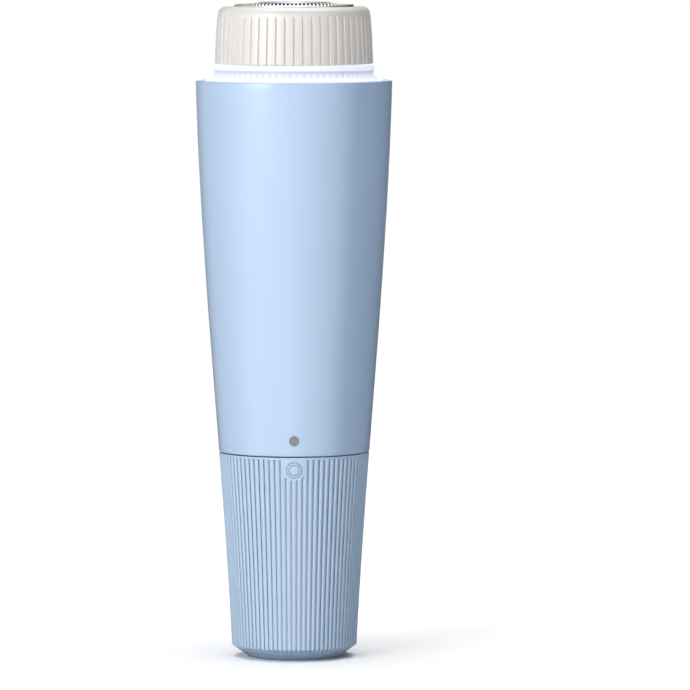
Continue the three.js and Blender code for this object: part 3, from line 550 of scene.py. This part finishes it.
# ---- Light ring ----
def build_light_ring():
    """A foot in the shell, a neck that flares out over fine prisms, and a lip under the head."""
    skirt = outline(RIM_Z) - SHELL_WALL - 0.25
    base = [(RING_BORE + 0.1, RING_FOOT_Z), (RING_FOOT_RADIUS - 0.1, RING_FOOT_Z)]
    base += [(RING_FOOT_RADIUS, RING_FOOT_Z + 0.1), (RING_FOOT_RADIUS, 110)]
    base += [(skirt, 112), (skirt, FLARE_Z - 0.25)]
    flare = [
        (skirt - (skirt - NECK_RADIUS) * math.sin(a), FLARE_Z + (NECK_Z - FLARE_Z) * (1 - math.cos(a)))
        for a in np.radians(np.linspace(0, 90, 19))
    ]
    upper = [(NECK_RADIUS, NECK_Z + 0.1)] + arc(LIP_RADIUS - 0.25, 116.95, 0.25, -65, 0, 5)
    upper += arc(LIP_RADIUS - 0.2, LIP_TOP - 0.2, 0.2, 0, 90, 6)
    bore = [(14.6, LIP_TOP), (RING_BORE + 0.15, LIP_TOP), (RING_BORE, LIP_TOP - 0.15)]
    bore += [(RING_BORE, RING_FOOT_Z + 0.1)]
    flare_rows = {(float(r), float(z)) for r, z in flare}

    def prisms(r, z, angles):
        row = np.full(len(angles), r)
        if (r, z) in flare_rows:
            wave = np.abs(((angles - FRONT) * PRISMS / (2 * math.pi) + 0.5) % 1 - 0.5) * 2
            ends = smoothstep(skirt - 0.2, skirt - 0.7, r) * smoothstep(NECK_Z, NECK_Z - 0.3, z)
            row -= PRISM_DEPTH * wave * ends
        return row

    ring = turned("light_guide_ring", base + flare + upper + bore, full_circle(PRISMS * 8), prisms, 45)
    finish_piece(ring, "handle", light_guide, "light_guide", "light_ring")


# ---- Head ----
def head_radius(z):
    """Crest radius of the head ring below its rounded top."""
    t = (z - HEAD_Z) / (HEAD_TOP - HEAD_SHOULDER - HEAD_Z)
    return HEAD_RADIUS - HEAD_LEAN * t - HEAD_ROUNDING * t**3


def head_angles():
    """Columns that follow the grooves and the flats between them."""
    half = np.array([0, 0.5 * HEAD_GROOVE, HEAD_GROOVE, 1.3 * HEAD_GROOVE, 0.6, 0.8])
    across = np.concatenate([half, [1.0], 2 - half[:0:-1]]) / 2
    return FRONT + (np.arange(HEAD_RIBS)[:, None] + across).ravel() * 2 * math.pi / HEAD_RIBS


def head_surface(r, z, angles):
    """Radius of the head ring's outside at each angle: slightly crowned flats with a groove between two."""
    place = (angles - FRONT) * HEAD_RIBS / (2 * math.pi)
    across = np.abs((place + 0.5) % 1 - 0.5) * 2  # 0 in a groove and 1 in the middle of a flat
    run_out = 1 - smoothstep(*HEAD_GROOVE_END, z)
    groove = np.clip(1 - across / HEAD_GROOVE, 0, 1)
    shape = HEAD_GROOVE_DEPTH * groove - HEAD_FLAT_CROWN * across**2
    return r - shape * run_out - HEAD_FLAT_CROWN


def build_head_ring():
    """A ring with a grooved outside, a rounded shoulder, an opening for the foil and three tabs."""
    shoulder_z = HEAD_TOP - HEAD_SHOULDER
    outside = [(head_radius(HEAD_Z) - 0.15, HEAD_Z), (head_radius(HEAD_Z) - 0.03, HEAD_Z + 0.06)]
    outside += [(head_radius(z), z) for z in np.linspace(HEAD_Z + 0.2, HEAD_GROOVE_END[0], 26)]
    outside += [(head_radius(z), z) for z in np.linspace(HEAD_GROOVE_END[0] + 0.15, shoulder_z, 8)]
    outside += arc(head_radius(shoulder_z) - HEAD_SHOULDER, shoulder_z, HEAD_SHOULDER, 6, 90, 14)
    lip = FOIL_RADIUS + 0.2
    lid = FOIL_FLANGE + 0.65
    inside = [(lip + 0.3, HEAD_TOP)] + arc(lip + 0.15, HEAD_TOP - 0.15, 0.15, 90, 180, 4)
    inside += [(lip, lid), (HEAD_BORE, lid), (HEAD_BORE, HEAD_Z + 0.15), (HEAD_BORE + 0.15, HEAD_Z)]

    grooved_from = 15  # rows closer to the axis are plain

    def shape(r, z, angles):
        return head_surface(r, z, angles) if r >= grooved_from else np.full(len(angles), r)

    ring = turned("head_cap", outside + inside, head_angles(), shape, 30)
    tabs = [
        ring_block(f"head_tab_{i}", 13.5, HEAD_BORE + 0.3, HEAD_Z, HEAD_Z + 1, 30 + 120 * i, 28)
        for i in range(3)
    ]
    fuse(ring, tabs)
    finish_piece(ring, "head", cream, "cream_plastic", "head_ring")


def build_foil():
    """A thin pressed sheet. Its slots are real openings, from the raised track down over the outer edge."""
    dish = FOIL_TOP - 0.5
    sheet = [(0, dish + 0.04), (3, dish + 0.03), (6.2, dish), (6.5, dish + 0.06), (6.8, dish + 0.3)]
    sheet += [(7.0, FOIL_TOP - 0.1), (7.25, FOIL_TOP - 0.03)]
    slots_from = len(sheet)
    sheet += [(r, FOIL_TOP) for r in (7.5, 8.4, 9.3, 10.2, 10.8)]
    slots_to = len(sheet) + 5  # five steps down the arc of the outer edge
    sheet += arc(FOIL_RADIUS - FOIL_BEND, FOIL_TOP - FOIL_BEND, FOIL_BEND, 90, 0, 8)
    sheet += [(FOIL_RADIUS, 128.6), (FOIL_RADIUS, FOIL_FLANGE + 0.5)]
    sheet += [(FOIL_RADIUS + 0.12, FOIL_FLANGE + 0.35), (13.2, FOIL_FLANGE + 0.35)]
    across = np.array([0.0, 0.2, 0.5, 0.8])  # a slot is open from 0.2 to 0.8 of its pitch
    angles = FRONT + (np.arange(FOIL_SLOTS)[:, None] + across).ravel() * 2 * math.pi / FOIL_SLOTS
    cols = len(angles)

    def open_slot(face):
        row, col = divmod(face[0], cols)
        return slots_from <= row < slots_to and col % len(across) in (1, 2)

    verts = np.array([[(r * math.cos(a), r * math.sin(a), z) for a in angles] for r, z in sheet])
    faces = [face for face in strip_faces(len(sheet), cols) if not open_slot(face)]
    foil = new_object("slotted_foil", verts.reshape(-1, 3) * MM, faces, 30)
    close_poles(foil, 30)
    thickness = foil.modifiers.new("sheet", "SOLIDIFY")
    thickness.thickness = FOIL_THICKNESS * MM
    thickness.offset = -1 if foil.data.polygons[0].normal.z > 0 else 1
    finish_piece(foil, "head", foil_steel, "steel", "shaving_foil")


# ---- Springs ----
def build_spring(name, node, body, radii, turns, wire):
    """A wound spring that fills the CAD spring's height, its first and last turns closed."""
    low, high = (corner.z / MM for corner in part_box(node))
    span = high - low - 2 * wire
    along = np.linspace(0, turns, 32 * turns + 1)
    closed = 2.1 * wire  # rise of an end turn
    rise = low + wire + np.interp(along, [0, 1, turns - 1, turns], [0, closed, span - closed, span])
    radius = np.interp(along, [0, turns], radii)
    section = np.arange(10) * 2 * math.pi / 10
    verts = []
    for turn, z, r in zip(along * 2 * math.pi, rise, radius):
        for a in section:
            out = r + wire * math.cos(a)
            verts.append((out * math.cos(turn), out * math.sin(turn), z + wire * math.sin(a)))
    faces = strip_faces(len(along), len(section)) + end_faces(len(along), len(section))
    spring = new_object(name, np.array(verts) * MM, faces, 40)
    finish_piece(spring, body, nickel, "spring_steel", node)
    return spring


def build_springs():
    """The cell's spring, and the coupler's on a mesh of its own. The coupler's spring is built at one length,
    though the real one shortens as the coupler is pushed in.
    """
    build_spring("battery_coil", "battery_spring", "grip", (5.4, 3.0), 5, 0.35)
    coupler = build_spring("coupler_coil", "coupler_spring", "rotor", (1.55, 1.55), 4, 0.22)
    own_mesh(coupler)


# ---- CAD pieces that keep their shape ----
CAD_MATERIALS = {
    inner_plastic: ["chassis_front", "chassis_back", "head_seat"],
    dark_plastic: ["switch_ring", "motor_end_cap", "drive_hub", "drive_coupler", "cutter_carrier"],
    cream: ["cutter_cage"],
    screw_steel: [n for n in nodes if "screw" in n],
    can_steel: ["motor_can", "motor_bracket", "motor_shaft", "battery_button"],
    nickel: ["negative_contact", "positive_contact"],
    brass: ["switch_wiper", "switch_contact", "motor_bearing", "motor_terminal_positive",
            "motor_terminal_negative"],
    copper: ["motor_armature", "commutator"],
    ferrite: ["motor_magnet_left", "motor_magnet_right"],
    rubber: ["grip_seal", "spindle_seal"],
    board_mask: ["light_board"],
    lamp_glow: [n for n in nodes if n.startswith("lamp")],
    cell_wrap: ["battery_cell"],
    red_insulation: ["motor_lead_positive", "light_lead_positive"],
    black_insulation: ["motor_lead_negative", "light_lead_negative"],
    blade_steel: ["cutter_blades"],
}


def dress_cad_pieces():
    """Gives each carried-over CAD node its material, smooth curved faces and crisp edges."""
    for mat, names in CAD_MATERIALS.items():
        for name in names:
            obj = nodes[name]
            obj.data.materials.clear()
            obj.data.materials.append(mat)
            normals = obj.data.attributes.get("custom_normal")
            if normals:
                obj.data.attributes.remove(normals)
            obj.data.polygons.foreach_set("use_smooth", [True] * len(obj.data.polygons))
            weld = obj.modifiers.new("weld", "WELD")
            weld.merge_threshold = 0.002 * MM
            split = obj.modifiers.new("edges", "EDGE_SPLIT")
            split.split_angle = math.radians(32)


# ---- Floor, light and camera ----
def build_stage():
    """A wide white floor and the studio light. Gloss sees past the floor to the panels below it."""
    half = 30.0
    corners = [(-half, -half, 0), (half, -half, 0), (half, half, 0), (-half, half, 0)]
    mesh = bpy.data.meshes.new("floor")
    mesh.from_pydata(corners, [], [(0, 1, 2, 3)])
    floor = bpy.data.objects.new("floor", mesh)
    bpy.context.scene.collection.objects.link(floor)
    floor.data.materials.append(
        material("floor_paper", (0.93, 0.93, 0.93, 1.0), 0.85, tint=0.004, grain=40, bump=0.0, ior=1.0))
    floor.visible_glossy = False
    floor.visible_shadow = False
    build_sky()
    softbox("key", around(-41, 0.85, 0.33), (0, 0, 0.09), 0.45, 0.5, 3.05)
    build_panels()
    bpy.context.scene.view_settings.view_transform = "Standard"


def build_panels():
    """Panels that only gloss shows: tall ones round the front and left, a low one behind, and six above."""
    panels = []
    for azimuth in range(-150, 61, 15):
        watts = float(np.interp(azimuth, [-165, -105, -60, 0, 60], [0.0, 1.0, 2.5, 2.5, 1.0]))
        place = around(azimuth, 0.85, -0.1)
        panels.append(softbox(f"panel_{azimuth}", place, (0, 0, -0.1), 0.24, 1.3, watts))
    panels.append(softbox("panel_back", around(180, 0.85, 0.16), (0, 0, 0.13), 0.4, 0.3, 0.4))
    for azimuth in range(0, 360, 60):
        panels.append(softbox(f"upper_{azimuth}", around(azimuth, 0.65, 0.65), (0, 0, 0.13), 0.6, 0.4, 0.4))
    for panel in panels:
        panel.visible_diffuse = False


def around(azimuth, distance, height):
    """A place round the shaver in metres, its azimuth in degrees from the front."""
    turn = math.radians(azimuth)
    return (distance * math.sin(turn), -distance * math.cos(turn), height)


def build_sky():
    """A world that is bright overhead and almost black from there down."""
    world = bpy.data.worlds.new("studio")
    bpy.context.scene.world = world
    world.use_nodes = True
    tree = world.node_tree
    background = tree.nodes["Background"]
    place = tree.nodes.new("ShaderNodeTexCoord")
    split = tree.nodes.new("ShaderNodeSeparateXYZ")
    ramp = tree.nodes.new("ShaderNodeValToRGB")
    stops = ramp.color_ramp.elements
    levels = [(0.0, 0.02), (0.05, 0.02), (0.1, 0.0), (0.74, 0.0), (0.9, 1.0)]
    for stop, (at, level) in zip(stops, levels[:2]):
        stop.position, stop.color = at, (level, level, level, 1)
    for at, level in levels[2:]:
        stops.new(at).color = (level, level, level, 1)
    tree.links.new(place.outputs["Generated"], split.inputs["Vector"])
    tree.links.new(split.outputs["Z"], ramp.inputs["Fac"])
    tree.links.new(ramp.outputs["Color"], background.inputs["Color"])
    background.inputs["Strength"].default_value = 3.36


def softbox(name, place, target, width, height, power):
    """A rectangular lamp aimed at a point. Sizes are in metres and power in watts."""
    data = bpy.data.lights.new(name, "AREA")
    data.shape = "RECTANGLE"
    data.size, data.size_y = width, height
    data.energy = power
    lamp = bpy.data.objects.new(name, data)
    lamp.location = place
    lamp.visible_camera = False
    aim(lamp, target)
    bpy.context.scene.collection.objects.link(lamp)
    return lamp


def aim(obj, target):
    obj.rotation_mode = "QUATERNION"
    obj.rotation_quaternion = (Vector(target) - Vector(obj.location)).to_track_quat("-Z", "Y")


def build_camera():
    """A long lens from the front, a little above the shaver's top."""
    data = bpy.data.cameras.new("camera")
    data.sensor_width = 36
    data.lens = 329
    data.clip_start, data.clip_end = 0.05, 100
    camera = bpy.data.objects.new("camera", data)
    camera.location = (0, -1.25, 0.150)
    aim(camera, (0.0101, 0, 0.062))
    bpy.context.scene.collection.objects.link(camera)
    bpy.context.scene.camera = camera


build_grip()
build_shell()
build_dot()
build_light_ring()
build_head_ring()
build_foil()
build_springs()
dress_cad_pieces()
build_stage()
build_camera()
